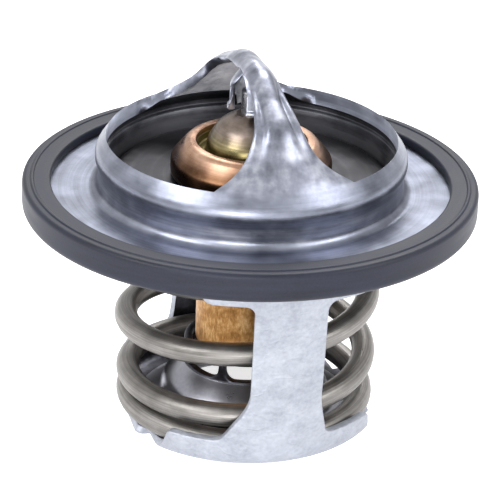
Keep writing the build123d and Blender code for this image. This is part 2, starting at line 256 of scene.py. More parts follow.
def turnedMesh(name, shape):
    # A closed outline of (radius, height, rounding) turned round the axis
    work = bmesh.new()
    columns = shape["columns"]
    rings = []
    for r, z in roundedLine(shape["outline"], closed=True):
        angles = [2 * math.pi * column / columns for column in range(columns)]
        rings.append([work.verts.new(polar(r, angle, z) * mm) for angle in angles])
    skin(work, rings + rings[:1])
    bmesh.ops.remove_doubles(work, verts=work.verts, dist=0.0005 * mm)
    bmesh.ops.recalc_face_normals(work, faces=work.faces)
    return meshOf(work, name)


# Materials

def heightShare(material, start, end):
    # 0 as far as the first height and 1 from the second on, in millimetres, upwards or downwards
    place = addNode(material, "ShaderNodeTexCoord").outputs["Object"]
    split = addNode(material, "ShaderNodeSeparateXYZ", links={0: place})
    falls = start > end
    settings = {"interpolation_type": "SMOOTHSTEP", "To Min": float(falls), "To Max": float(not falls),
                "From Min": min(start, end) * mm, "From Max": max(start, end) * mm}
    return addNode(material, "ShaderNodeMapRange", settings, {"Value": split.outputs["Z"]}).outputs[0]


# Heights between which the bridge's skin sets in, and the neck's band of painted light ends and starts
skinHeights = {"bridge": (35.6, 38.6), "neckTop": (33.4, 32.2), "neckFoot": (30.3, 31.2)}


def makeStainless(name, metallic, dark, light, raised, shine):
    # Pressed stainless sheet: satin, with faint drawing rings on the collar, a band of painted light
    # on the neck and a cloudy, scuffed skin where the sheet is raised into the bridge
    material, shader = newMaterial(name, metallic, 0.3)
    rings = ringNoise(material, 34, 0.5, 19, 4.0)
    fine = ringNoise(material, 9, 0.14, 19, 2.0)
    cloud = spotNoise(material, (4.5, 4.5, 2.6), 4.0, 0.52)
    streaks = spotNoise(material, (1.3, 1.3, 9.0), 3.0, 0.5)
    specks = spotNoise(material, (0.35, 0.35, 0.35), 2.0)
    collarSkin = mixColours(material, 0.62, mixColours(material, 0.3, rings, fine), cloud)
    bridgeSkin = mixColours(material, 0.4, cloud, streaks)
    places = (0.34, 0.5, 0.68)
    plain = colourSteps(material, collarSkin, list(zip(places, (dark, *light))))
    # The neck band's lighter colours are painted light, standing in for the light that the neck catches
    neckPaintedLight = colourSteps(material, collarSkin, list(zip(places, (*light, raised[2]))))
    neckLightShare = combine(material, "MULTIPLY", heightShare(material, *skinHeights["neckTop"]),
                        heightShare(material, *skinHeights["neckFoot"]))
    collarColour = mixColours(material, neckLightShare, plain, neckPaintedLight)
    bridgeColour = colourSteps(material, bridgeSkin, list(zip((0.34, 0.5, 0.66), raised)))
    bridgeShare = heightShare(material, *skinHeights["bridge"])
    colour = mixColours(material, bridgeShare, collarColour, bridgeColour)
    gloss = mixColours(material, 0.4, cloud, specks)
    relief = mixColours(material, bridgeShare, rings, bridgeSkin)
    return dress(material, shader, colour, gloss, shine, [(relief, 0.016), (specks, 0.006)])


stainless = makeStainless("stainlessSteelPressed", 1.0, "#61646f", ("#7a7e8b", "#9498a7"),
                          ("#5f626d", "#8d909d", "#bec1cc"), (0.28, 0.44))
# The sheet's inner faces: a darker copy of the same steel, painted shade inside the collar and under the
# flange
stainlessInsidePaintedShade = makeStainless("stainlessSteelInsidePaintedShade", 0.7, "#34353a", ("#4d4e54", "#7a7b82"),
                                ("#414247", "#5c5d62", "#77787e"), (0.34, 0.52))


def makeCrinkled():
    # The bridge's underside: sheet that the press has stretched and crinkled, matt, in pale colours that are
    # painted light falling on it
    material, shader = newMaterial("stainlessSteelCrinkledPaintedLight", 0.15, 0.42)
    folds = spotNoise(material, (1.5, 1.5, 0.9), 5.0, 0.65)
    cloud = spotNoise(material, (3.0, 3.0, 1.6))
    mixed = mixColours(material, 0.5, folds, cloud)
    colour = colourSteps(material, mixed, [(0.32, "#a4a7b1"), (0.5, "#dddfe7"), (0.66, "#f6f7f9")])
    return dress(material, shader, colour, cloud, (0.3, 0.5), [(folds, 0.22)])


stainlessCrinkledPaintedLight = makeCrinkled()


def makeMoulded(name, colour, lighter):
    # Moulded rubber, satin, with a dusty bloom. Plastic and wax have the same kind of skin.
    material, shader = newMaterial(name, 0.0, 0.45)
    shader.inputs["Specular IOR Level"].default_value = 0.3
    bloom = ringNoise(material, 9, 1.1, 27, 4.0)
    grain = spotNoise(material, (0.25, 0.25, 0.25), 2.0)
    mixed = mixColours(material, 0.3, bloom, grain)
    colour = colourSteps(material, mixed, [(0.35, colour), (0.68, lighter)])
    return dress(material, shader, colour, mixed, (0.4, 0.55), [(grain, 0.008), (bloom, 0.01)])


gasketRubber = makeMoulded("rubberGasketMoulded", "#141621", "#232636")
sealRubber = makeMoulded("rubberSealMoulded", "#1c1c1e", "#2a2a2c")
plastic = makeMoulded("ptfeTurned", "#c9c9c4", "#dcdcd8")
wax = makeMoulded("waxWithCopperPowder", "#6b4632", "#8a5b40")


def makeZincPlate(name, colours, metallic, shine, relief):
    # Zinc-plated sheet: pale, matt and a little blue, with creases and scuffs from handling
    material, shader = newMaterial(name, metallic, 0.5)
    cloud = spotNoise(material, (3.2, 3.2, 2.6), 5.0, 0.6)
    grain = spotNoise(material, (0.5, 0.5, 0.5))
    mixed = mixColours(material, 0.35, cloud, grain)
    colour = colourSteps(material, mixed, colours)
    folds = spotNoise(material, (6.5, 6.5, 3.4))
    creases = colourSteps(material, folds, [(0.46, 0.0), (0.5, 1.0), (0.54, 0.0)])
    heights = [(cloud, relief), (creases, relief), (grain, relief * 0.2)]
    return dress(material, shader, colour, cloud, shine, heights)


zincPlate = makeZincPlate("steelZincPlated", ("#8f939e", "#a6aab4", "#babec7"), 0.5, (0.42, 0.6), 0.05)
zincDome = makeZincPlate("steelZincPlatedDome", ("#8d8e96", "#9a9ba3", "#a8a9b1"), 1.0,
                         (0.27, 0.33), 0.001)
# The frame's inner faces: dark copies of the zinc plate, painted shade inside the legs, under the dome and
# on the dome's collar
zincInsidePaintedShade = makeZincPlate("steelZincPlatedInsidePaintedShade", ("#35353a", "#4a4a51", "#64646c"), 1.0,
                           (0.32, 0.44), 0.01)


def makeSpringSteel():
    # Drawn spring wire: grey-brown, with drawing lines and scratches along the wire
    material, shader = newMaterial("steelSpringWire", 0.9, 0.42)
    place = addNode(material, "ShaderNodeUVMap", {"uv_map": "wire"}).outputs["UV"]
    lines = addNode(material, "ShaderNodeMapping", {"Scale": (0.06, 5.0, 1.0)}, {"Vector": place})
    drawn = noiseOver(material, lines.outputs[0], 4.0)
    blotch = spotNoise(material, (3.4, 3.4, 2.2), 4.0)
    specks = spotNoise(material, (0.4, 0.4, 0.4), 2.0)
    marks = addNode(material, "ShaderNodeMapping", {"Scale": (0.35, 9.0, 1.0)}, {"Vector": place})
    scratches = noiseOver(material, marks.outputs[0], 4.0, 0.7)
    scratches = colourSteps(material, scratches, [(0.58, 0.0), (0.7, 1.0)])
    mixed = mixColours(material, 0.45, drawn, blotch)
    mixed = mixColours(material, 0.28, mixed, scratches, "SCREEN")
    colour = colourSteps(material, mixed, ("#5d5b57", "#7b7875", "#9b9895"))
    return dress(material, shader, colour, blotch, (0.34, 0.5), [(drawn, 0.02), (specks, 0.008)])


springSteel = makeSpringSteel()


def makeTurnedMetal(name, colours, shine, length=30, width=0.18, upper=None, heights=None):
    # Turned metal with fine tool rings and a cloudy tarnish, and other colours higher up
    material, shader = newMaterial(name, 1.0, 0.3)
    rings = ringNoise(material, length, width, 9, 3.0)
    cloud = spotNoise(material, (3.0, 3.0, 2.2), 4.0)
    mixed = mixColours(material, 0.65, rings, cloud)
    colour = colourSteps(material, mixed, colours)
    if upper:
        above = colourSteps(material, mixed, upper)
        colour = mixColours(material, heightShare(material, *heights), colour, above)
    return dress(material, shader, colour, cloud, shine, [(rings, 0.007)])


# The copper is painted dark below the crest, as painted dark reflection of the shaded parts round it, and
# lighter above; its cloudy tarnish is its own
copper = makeTurnedMetal("copperTarnishedAndShaded", ("#332318", "#553c2b", "#7c5c46"), (0.24, 0.4),
                         upper=("#8a6650", "#b08c74", "#d2b09a"), heights=(34.6, 36.2))
brass = makeTurnedMetal("brassDulled", ("#565035", "#807650", "#aa9e70"), (0.26, 0.42),
                        upper=("#4d443d", "#74685f", "#9a8d84"), heights=(36.2, 38.4))
# The valve plate is given plain dark greys
plateSteel = makeTurnedMetal("steelPlateDarkGrey", ("#2b2b2d", "#3a3a3d", "#4e4d50"), (0.38, 0.5), 60, 0.9)
pistonSteel = makeTurnedMetal("steelPistonGround", ("#8c8d91", "#b5b6ba"), (0.22, 0.32), 30, 0.1)


def makeBrushedCopper():
    # The capsule's wall: golden, dulled copper alloy with short upright brush marks
    material, shader = newMaterial("copperBrushed", 0.85, 0.4)
    marks = spotNoise(material, (0.3, 0.3, 0.8), 4.0, 0.65)
    cloud = spotNoise(material, (1.7, 1.7, 1.7), 4.0, 0.6)
    mixed = mixColours(material, 0.5, marks, cloud)
    colour = colourSteps(material, mixed, [(0.34, "#8f6238"), (0.5, "#c39055"), (0.64, "#e9c088")])
    return dress(material, shader, colour, cloud, (0.34, 0.5), [(marks, 0.03), (cloud, 0.03)])


copperBrushed = makeBrushedCopper()


# Flange, collar and bridge: one sheet, drawn on its outer face and then given its thickness

bridge = {
    "sheet": 1.1,
    "profile": [(26.3, 30.2, 0), (18.75, 30.2, 1.1), (18.75, 32.9, 2.0), (19.35, 34.65, 2.0),
                (17.83, 36.86, 0)],
    "rimRadius": 17.83,
    "rimHeight": 36.86,
    "crownHeight": 45.8,
    "rootAngle": math.radians(28.4),
    "crownHalfWidth": 1.75,
    "crownArch": 1.15,
    "strapColumns": 24,
    "windowColumns": 66,
    "rowSpacing": 0.42,
    "edgeRounding": 0.07,
    # Power by which the edges, and not the middle, head straight for the next section
    "edgeHold": 4,
    # How far along the rim from the bridge the sheet's cut edge turns level
    "cutBlend": 2.5,
    # Crinkles under the bridge: their size, their depth and the climb over which they set in
    "crinkles": (1.3, 0.12, 1.5),
    # The piston's socket swells the crown's right side, which droops, over a length of the bridge
    "socketSwell": 1.1,
    "socketDroop": 1.7,
    "droopPower": 1.2,
    "socketLength": 2.1,
    # How much lower than the front leg the back leg stands at each station
    "backDrop": [0, -0.1, -0.1, 0.0, 0.0, 0.0, 0.05, 0.35, 0.35],
    # The legs' rolled edges and the grooves beside them: height, and middle and width as shares
    # across. Then their start and length as shares of the bridge, and the back leg's share of them.
    "ridge": (0.26, 0.92, 0.12),
    "groove": (0.36, 0.64, 0.14),
    "rollStart": 0.06,
    "rollLength": 0.38,
    "backShare": 0.2,
    # Shares of reach, climb and extra half width, and the arch as a share of the crown's
    "stations": [
        (0.836, 0.155, 0.632, 1.17),
        (0.785, 0.279, 0.422, 1.11),
        (0.723, 0.452, 0.260, 1.06),
        (0.673, 0.586, 0.171, 0.97),
        (0.561, 0.732, 0.095, 0.77),
        (0.449, 0.821, 0.049, 0.74),
        (0.337, 0.897, 0.020, 0.96),
        (0.224, 0.966, 0.006, 1.09),
        (0.112, 0.99, 0.002, 1.09),
    ],
}


def strapSection(distance, height, tilt, halfWidth, arch):
    # Points of an arched section of the bridge from left to right
    columns = bridge["strapColumns"]
    bend = (halfWidth ** 2 + arch ** 2) / (2 * arch)
    half = math.asin(min(1, halfWidth / bend))
    points = []
    for column in range(columns + 1):
        angle = half * (2 * column / columns - 1)
        rise = bend * math.cos(angle) - (bend - arch)
        points.append(Vector((bend * math.sin(angle), -distance - rise * math.sin(tilt),
                              height + rise * math.cos(tilt))))
    return points


def strapSections():
    # Sections of the bridge's outer face from the front rim to the back rim
    rim = bridge["rimRadius"]
    foot = bridge["rimHeight"]
    crownHalf = bridge["crownHalfWidth"]
    rise = bridge["crownHeight"] - foot
    rootHalf = rim * math.sin(bridge["rootAngle"])
    rootReach = rim * math.cos(bridge["rootAngle"])
    front = []
    for reach, climb, width, arch in bridge["stations"]:
        halfWidth = crownHalf + (rootHalf - crownHalf) * width
        front.append((rim * reach, foot + rise * climb, halfWidth, bridge["crownArch"] * arch))
    back = []
    for (distance, height, *rest), drop in list(zip(front, bridge["backDrop"]))[::-1]:
        back.append((-distance, height - drop, *rest))
    path = front + [(0, bridge["crownHeight"], crownHalf, bridge["crownArch"])] + back
    line = [(rootReach, foot)] + [station[:2] for station in path] + [(-rootReach, foot)]
    sections = [strapSection(rootReach, foot, math.pi / 2, rootHalf, rim - rootReach)]
    for before, after, (distance, height, halfWidth, arch) in zip(line, line[2:], path):
        tilt = math.atan2(after[1] - before[1], before[0] - after[0])
        sections.append(strapSection(distance, height, tilt, halfWidth, arch))
    sections.append(strapSection(-rootReach, foot, -math.pi / 2, rootHalf, rim - rootReach))
    return sections


def collarSlope():
    (r0, z0, _), (r1, z1, _) = bridge["profile"][-2:]
    return math.atan2(z1 - z0, r0 - r1)


def strapAims(spots, gaps, across):
    # Where a column of the bridge heads at each section. It leaves the collar along its shoulder.
    slope = collarSlope()
    angle = bridge["rootAngle"] * across
    slide = abs(across) ** bridge["edgeHold"]
    aims = []
    for place, spot in enumerate(spots):
        if place in (0, len(spots) - 1):
            side = -1 if place == 0 else 1
            inward = Vector((-math.sin(angle), -side * math.cos(angle), 0)) * math.cos(slope)
            aim = inward + Vector((0, 0, math.sin(slope)))
            other = spots[1] if place == 0 else spots[-2]
            aim = aim * (1 - slide) + (other - spot).normalized() * slide
            aims.append(aim * -side)
        else:
            near = gaps[place - 1]
            far = gaps[place]
            step = (spots[place + 1] - spot) / far * near + (spot - spots[place - 1]) / near * far
            aims.append(step / (near + far))
    return aims


def rollEdges(rows):
    # The edges of both legs are rolled up a little, with a groove beside them
    last = len(rows) - 1
    columns = bridge["strapColumns"]
    shaped = [list(row) for row in rows]
    for place in range(1, last):
        share = min(place, last - place) / last
        share = min(1, max(0, (share - bridge["rollStart"]) / bridge["rollLength"]))
        weight = math.sin(math.pi * share) ** 2
        if place > len(rows) / 2:
            weight *= bridge["backShare"]
        for column in range(columns + 1):
            across = abs(2 * column / columns - 1)
            height = hump(across, *bridge["ridge"]) - hump(across, *bridge["groove"])
            along = rows[place + 1][column] - rows[place - 1][column]
            side = rows[place][min(columns, column + 1)] - rows[place][max(0, column - 1)]
            offset = side.cross(along).normalized() * (weight * height)
            shaped[place][column] = rows[place][column] + offset
    return shaped


def strapRows():
    # The bridge's outer face as rows of points. Each column is a smooth curve through the sections.
    sections = strapSections()
    columns = bridge["strapColumns"]
    curves = []
    for column in range(columns + 1):
        spots = [section[column] for section in sections]
        gaps = [(b - a).length for a, b in zip(spots, spots[1:])]
        curves.append((spots, gaps, strapAims(spots, gaps, 2 * column / columns - 1)))
    rows = []
    for place in range(len(sections) - 1):
        steps = max(2, round(curves[columns // 2][1][place] / bridge["rowSpacing"]))
        for t in [step / steps for step in range(steps)]:
            row = []
            for spots, gaps, aims in curves:
                gap = gaps[place]
                spot = spots[place] * (2 * t ** 3 - 3 * t ** 2 + 1)
                spot += spots[place + 1] * (3 * t ** 2 - 2 * t ** 3)
                spot += (aims[place] * gap * (t ** 3 - 2 * t ** 2 + t)
                         + aims[place + 1] * gap * (t ** 3 - t ** 2))
                row.append(spot)
            rows.append(row)
    shaped = rollEdges(rows + [sections[-1]])
    for row in shaped:
        for column, spot in enumerate(row):
            right = max(0, 2 * column / columns - 1)
            swell = Vector((bridge["socketSwell"] * right, 0,
                            -bridge["socketDroop"] * right ** bridge["droopPower"]))
            row[column] = spot + swell * hump(spot.y, 1, 0, bridge["socketLength"])
    return shaped


def thicken(work, innerSpot, rounding):
    # Gives an open sheet its thickness and breaks its cut edges
    work.normal_update()
    edges = [edge for edge in work.edges if edge.is_boundary]
    inner = {vertex: work.verts.new(innerSpot(vertex)) for vertex in list(work.verts)}
    underside = work.faces.layers.int.get("underside")
    # Inner faces take the second finish, painted shade, and those under the bridge the third, pale with
    # painted light
    for face in list(work.faces):
        other = work.faces.new([inner[vertex] for vertex in reversed(face.verts)])
        other.material_index = 2 if face[underside] else 1
    for edge in list(edges):
        loop = edge.link_loops[0]
        first = loop.vert
        second = loop.link_loop_next.vert
        work.faces.new((second, first, inner[first], inner[second]))
        edges.append(work.edges.get((inner[first], inner[second])))
    bmesh.ops.bevel(work, geom=edges, offset=rounding * mm, offset_type="OFFSET", segments=2,
                    profile=0.6, affect="EDGES", clamp_overlap=True, material=-1)


def makeBridge():
    work = bmesh.new()
    root = bridge["rootAngle"]
    strapColumns = bridge["strapColumns"]
    windowColumns = bridge["windowColumns"]
    angles = []
    for start, end, steps in ((-root, root, strapColumns), (root, math.pi - root, windowColumns),
                              (math.pi - root, math.pi + root, strapColumns),
                              (math.pi + root, 2 * math.pi - root, windowColumns)):
        angles += [start + (end - start) * step / steps for step in range(steps)]
    rings = []
    for r, z in roundedLine(bridge["profile"]):
        rings.append([work.verts.new(polar(r, angle, z) * mm) for angle in angles])
    skin(work, rings)
    rim = rings[-1]
    backStart = strapColumns + windowColumns
    strap = [rim[:strapColumns + 1]]
    for row in strapRows()[1:-1]:
        strap.append([work.verts.new(spot * mm) for spot in row])
    strap.append([rim[backStart + strapColumns - column] for column in range(strapColumns + 1)])
    underside = work.faces.layers.int.new("underside")
    for lower, upper in zip(strap, strap[1:]):
        for column in range(strapColumns):
            face = work.faces.new((lower[column], lower[column + 1], upper[column + 1], upper[column]))
            face[underside] = 1
    cut = {}
    for angle, vertex in zip(angles, rim):
        fromLeg = abs(math.remainder(angle, math.pi))
        if fromLeg >= root - 1e-6:
            cut[vertex] = min(1, abs(fromLeg - root) * bridge["rimRadius"] / bridge["cutBlend"])
    drop = Vector((0, 0, bridge["sheet"] * mm / math.cos(collarSlope())))

    def innerSpot(vertex):
        size, deepest, climb = bridge["crinkles"]
        share = min(1, max(0, (vertex.co.z / mm - bridge["rimHeight"]) / climb))
        depth = bridge["sheet"] + noise.noise(vertex.co / (size * mm)) * deepest * share
        inward = vertex.co - vertex.normal * depth * mm
        return inward.lerp(vertex.co - drop, cut[vertex]) if vertex in cut else inward

    thicken(work, innerSpot, bridge["edgeRounding"])
    bmesh.ops.rotate(work, verts=work.verts, matrix=Matrix.Rotation(turn, 3, "Z"))
    finishMesh("flange_bridge_sheet", meshOf(work, "flangeBridge"),
               [stainless, stainlessInsidePaintedShade, stainlessCrinkledPaintedLight], "housing", ["flange_bridge"])


makeBridge()

# Socket for the piston under the crown

socket = {
    # Outer face of the walls from the lip upwards, and their thickness
    "profile": [(2.9, 41.15, 0.15), (2.9, 43.9, 1.2), (1.7, 45.75, 0)],
    "wall": 0.62,
    # How far the inner face of the roof lies below the outer one, and its share of the roundings
    "roofDrop": 0.3,
    "innerRounding": 0.6,
    "lipRadius": 3.2,
    "lipBottom": 40.5,
    "doorCentre": math.radians(61.5),
    "doorHalf": math.radians(31.5),
    "archStart": 43.0,
    "archTop": 45.2,
    "spacing": 0.2,
    "columns": 28,
    "edgeRounding": 0.07,
    # Cosine from which a face counts as looking inwards
    "facing": 0.7,
}


def doorAt(height):
    # Half the door's angle at a height: straight jambs under a round arch
    rise = (height - socket["archStart"]) / (socket["archTop"] - socket["archStart"])
    return socket["doorHalf"] * math.sqrt(max(0, 1 - max(0, rise) ** 2))


def makeSocket():
    work = bmesh.new()
    thickness = socket["wall"]
    outer = socket["profile"]
    reach = socket["lipRadius"]
    bottom = socket["lipBottom"]
    lip = [(outer[0][0] - thickness, bottom, 0.15), (reach, bottom, 0.25), (reach, outer[0][1], 0.25)]
    inner = [(r - thickness, z - (0 if place else socket["roofDrop"]), rounding * socket["innerRounding"])
             for place, (r, z, rounding) in enumerate(reversed(outer[1:]))]
    wall = denser(roundedLine(lip + outer + inner, closed=True), socket["spacing"], closed=True)
    for middle, end in ((0, socket["doorCentre"]), (math.pi, math.pi - socket["doorCentre"])):
        slices = []
        for step in range(socket["columns"] + 1):
            across = 2 * step / socket["columns"] - 1
            slices.append([work.verts.new(polar(r, middle + (end - doorAt(z)) * across + turn, z) * mm)
                           for r, z in wall])
        for first, second in zip(slices, slices[1:]):
            for place in range(len(wall)):
                after = (place + 1) % len(wall)
                work.faces.new((first[place], second[place], second[after], first[after]))
        ends = [work.faces.new(slices[0]), work.faces.new(slices[-1][::-1])]
        edges = [edge for face in ends for edge in face.edges]
        bmesh.ops.bevel(work, geom=edges, offset=socket["edgeRounding"] * mm, segments=2, profile=0.5,
                        affect="EDGES")
    bmesh.ops.recalc_face_normals(work, faces=work.faces)
    mesh = meshOf(work, "pistonSocket")
    # The walls' inner faces are crinkled like the bridge's underside and carry its pale painted light
    for face in mesh.polygons:
        outward = Vector((face.center.x, face.center.y, 0)).normalized()
        if face.normal.dot(outward) < -socket["facing"]:
            face.material_index = 1
    finishMesh("piston_socket_walls", mesh, [stainless, stainlessCrinkledPaintedLight], "housing", [])


makeSocket()

# Gasket

gasket = {
    "outline": [(24.5, 27.66, 0.27), (28.0, 27.66, 0.85), (28.0, 31.34, 0.55), (27.0, 31.34, 0.1),
                (26.87, 31.5, 0.1), (26.63, 31.5, 0.1), (26.5, 31.34, 0.1), (24.5, 31.34, 0.27),
                (24.5, 30.22, 0), (26.32, 30.22, 0), (26.32, 29.08, 0), (24.5, 29.08, 0)],
    "columns": 240,
}
mesh = turnedMesh("gasket", gasket)
finishMesh("flange_gasket_ring", mesh, [gasketRubber], "housing", ["flange_gasket"])

# Wax element: copper cup with the crimped head, and the brass guide cone in it

cup = {
    "outline": [(6.8, 36.42, 0.12), (7.95, 36.42, 1.2), (9.9, 34.05, 1.2), (9.9, 31.72, 0.9),
                (6.3, 31.72, 0), (6.3, 9.0, 1.2), (0, 9.0, 0), (0, 9.7, 0), (5.6, 9.7, 0.5),
                (5.6, 32.42, 0), (9.2, 32.42, 0.2), (9.2, 33.8, 0.5), (7.6, 35.72, 0.5), (6.8, 35.72, 0.12)],
    "columns": 160,
    "brushedBelow": 31.0,
}
mesh = turnedMesh("capsuleCup", cup)
for face in mesh.polygons:
    if face.center.z < cup["brushedBelow"] * mm:
        face.material_index = 1
finishMesh("capsule_cup_shell", mesh, [copper, copperBrushed], "element", ["capsule_cup"])

cone = {
    "outline": [(1.48, 33.3, 0), (9.16, 33.3, 0), (9.16, 33.7, 0.2), (7.5, 35.68, 0), (6.8, 35.68, 0.1),
                (6.8, 34.7, 0.3), (5.65, 34.7, 0.3), (5.46, 36.55, 3.0), (4.15, 38.68, 3.0),
                (1.9, 40.0, 0.25), (1.48, 40.0, 0.1)],
    "columns": 160,
}
finishMesh("guide_cone_turned", turnedMesh("guideCone", cone), [brass], "element", ["guide_cone"])

# Valve plate

plate = {
    "outline": [(6.32, 31.7, 0.2), (17.3, 31.7, 1.1), (17.3, 28.6, 0.3), (18.9, 28.6, 0.15),
                (18.9, 27.7, 0.15), (16.4, 27.7, 0.6), (16.4, 30.8, 0.2), (6.32, 30.8, 0.2)],
    "columns": 200,
}
mesh = turnedMesh("valvePlate", plate)
finishMesh("valve_plate_pressed", mesh, [plateSteel], "element", ["valve_plate"])

# Piston

rod = {
    "outline": [(0, 17.0, 0), (1.45, 17.0, 0.5), (1.45, 42.9, 0.2), (0.8, 43.4, 0.1), (0.8, 45.4, 0.2),
                (0, 45.4, 0)],
    "columns": 64,
}
finishMesh("piston_rod", turnedMesh("piston", rod), [pistonSteel], "housing", ["piston"])

# Spring

spring = {
    "wireRadius": 1.45,
    "coilRadius": 14.7,
    # How much farther out the middle coils lie
    "barrel": 0.4,
    "low": 2.5,
    "high": 29.3,
    # Degrees between the wire's rings, and between the marks of its curve
    "step": 3,
    "markStep": 30,
    "sides": 22,
    "endRounding": 0.15,
    # Share of the height by the angle along the wire, from its top end
    "heights": [
        (-730, 1.000), (-640, 0.998), (-540, 0.974), (-450, 0.929), (-360, 0.853),
        (-180, 0.696), (0, 0.538), (90, 0.456), (180, 0.383), (270, 0.308),
        (360, 0.224), (450, 0.137), (540, 0.112), (630, 0.061), (720, 0.015),
        (810, 0.002), (905, 0.000),
    ],
}


def springHeight(angle):
    # A smooth curve through the heights at the marks
    known, shares = zip(*spring["heights"])
    place = (angle - known[0]) / spring["markStep"]
    start = math.floor(place)
    t = place - start
    marks = [known[0] + spring["markStep"] * (start + step) for step in (-1, 0, 1, 2)]
    a, b, c, d = numpy.interp(marks, known, shares).tolist()
    share = b + 0.5 * t * (c - a + t * (2 * a - 5 * b + 4 * c - d + t * (3 * (b - c) + d - a)))
    return spring["low"] + (spring["high"] - spring["low"]) * share


def makeSpring():
    work = bmesh.new()
    wireMap = work.loops.layers.uv.new("wire")
    first = spring["heights"][0][0]
    last = spring["heights"][-1][0]
    angles = range(first, last + 1, spring["step"])
    sides = spring["sides"]
    rings = []
    along = []
    for angle in angles:
        rising = springHeight(angle + 1) - springHeight(angle - 1)
        turned = math.radians(angle)
        outward = Vector((math.cos(turned), -math.sin(turned), 0))
        forward = Vector((-math.sin(turned), -math.cos(turned), 0)) * spring["coilRadius"] * math.radians(2)
        forward = (forward + Vector((0, 0, rising))).normalized()
        upward = outward.cross(forward).normalized()
        height = springHeight(angle)
        share = (height - spring["low"]) / (spring["high"] - spring["low"])
        radius = spring["coilRadius"] + spring["barrel"] * math.sin(math.pi * share) ** 2
        middle = outward * radius + Vector((0, 0, height))
        ring = []
        for side in range(sides):
            around = 2 * math.pi * side / sides
            spot = middle + (outward * math.cos(around) + upward * math.sin(around)) * spring["wireRadius"]
            ring.append(work.verts.new(spot * mm))
        rings.append(ring)
        along.append(spring["coilRadius"] * turned)
    girth = 2 * math.pi * spring["wireRadius"]
    for lower, upper, near, far in zip(rings, rings[1:], along, along[1:]):
        for side in range(sides):
            after = (side + 1) % sides
            face = work.faces.new((lower[side], lower[after], upper[after], upper[side]))
            spots = [(near, side), (near, side + 1), (far, side + 1), (far, side)]
            for loop, (u, v) in zip(face.loops, spots):
                loop[wireMap].uv = (u, v * girth / sides)
    ends = [work.faces.new(rings[0][::-1]), work.faces.new(rings[-1])]
    edges = [edge for face in ends for edge in face.edges]
    bmesh.ops.recalc_face_normals(work, faces=work.faces)
    bmesh.ops.bevel(work, geom=edges, offset=spring["endRounding"] * mm, segments=2, profile=0.5,
                    affect="EDGES")
    piece = finishMesh("spring_wire", meshOf(work, "spring"), [springSteel], "housing", ["spring"])
    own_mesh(piece)


makeSpring()

# Frame: one pressed sheet with two legs, a floor, and a dome that guides the capsule. It is laid
# out flat, as a ring round the axis whose radius is the length along the sheet, and then bent.

legs = {
    "sheet": 1.0,
    # Middle of the sheet from the end of the guide out to the foot
    "profile": [(7.15, 9.7, 0), (7.15, 6.6, 1.0), (10.15, 3.6, 2.6), (10.15, 0.5, 1.5), (16.78, 0.5, 2.5),
                (21.96, 28.58, 1.4), (24.1, 28.58, 0)],
    # Reach beyond the guide at which the sheet has come down to the floor
    "floorReach": 3.2,
    "armHalfWidth": 10.15,
    "armHeight": 24.2,
    "left": 3.85,
    "right": 4.9,
    "taper": 0.45,
    "flareHeight": 9.6,
    "flareLeft": 7.0,
    "flareRight": 6.0,
    "bandHeight": 4.2,
    "bandTop": 12.4,
    "bandFoot": 13.35,
    "tabReach": 14.95,
    "tabHalfLength": 5.6,
    "footRounding": 0.4,
    "bandRounding": 0.5,
    "tabRounding": 0.7,
    "cornerRounding": 1.2,
    "flareRounding": 6.0,
    "windows": 6,
    "spokeCentre": math.radians(-36.5),
    "spokeWidth": 1.1,
    "windowLow": 7.0,
    "windowHigh": 9.1,
    "windowRounding": 1.2,
    "windowTopRounding": 0.3,
    # How much wider the windows are at their high edge
    "windowSpread": 0.22,
    # How far from the axis the dome's finish reaches, and how far its collar keeps the dark inside finish,
    # painted shade
    "domeReach": 13.5,
    "collarReach": 7.75,
    "edgeRounding": 0.14,
    # Points of the flat sheet: their spacing along it and number around, the spacing on the cut
    # edges and the free strip beside those, and the number round the guide
    "grid": 0.6,
    "columns": 260,
    "edgeSpacing": 0.4,
    "windowSpacing": 0.35,
    "edgeFree": 0.28,
    "guideColumns": 120,
    # Dents from handling: size, depth, and the length at which they start and over which they set
    # in. Then the deeper ones low on the leg: extra depth, middle and width.
    "dents": (3.1, 0.07, 24, 4),
    "deepDents": (0.12, 30, 2.5),
    "weld": 0.002,
}


def sheetLine(corners, spacing):
    # The sheet's middle line by the length along it, which starts at the guide's radius
    points = denser(roundedLine(corners), spacing)
    gaps = [(b - a).length for a, b in zip(points, points[1:])]
    start = points[0].x
    lengths = numpy.concatenate([[start], start + numpy.cumsum(gaps)])
    line = numpy.array([(point.x, point.y) for point in points])
    slope = numpy.gradient(line, lengths, axis=0)
    slope /= numpy.linalg.norm(slope, axis=1)[:, None]
    return {"lengths": lengths, "radii": line[:, 0], "heights": line[:, 1],
            "normalR": -slope[:, 1], "normalZ": slope[:, 0]}


def placeOn(line, length):
    # Radius and height of the middle line at a length, and its normal there
    rows = ("radii", "heights", "normalR", "normalZ")
    return [numpy.interp(length, line["lengths"], line[row]) for row in rows]


def lengthTo(line, row, value):
    # Length to the place where the floor or a leg reaches a radius or a height
    start = int(numpy.argmax(line["radii"] > line["radii"][0] + legs["floorReach"]))
    return float(numpy.interp(value, line[row][start:], line["lengths"][start:]))


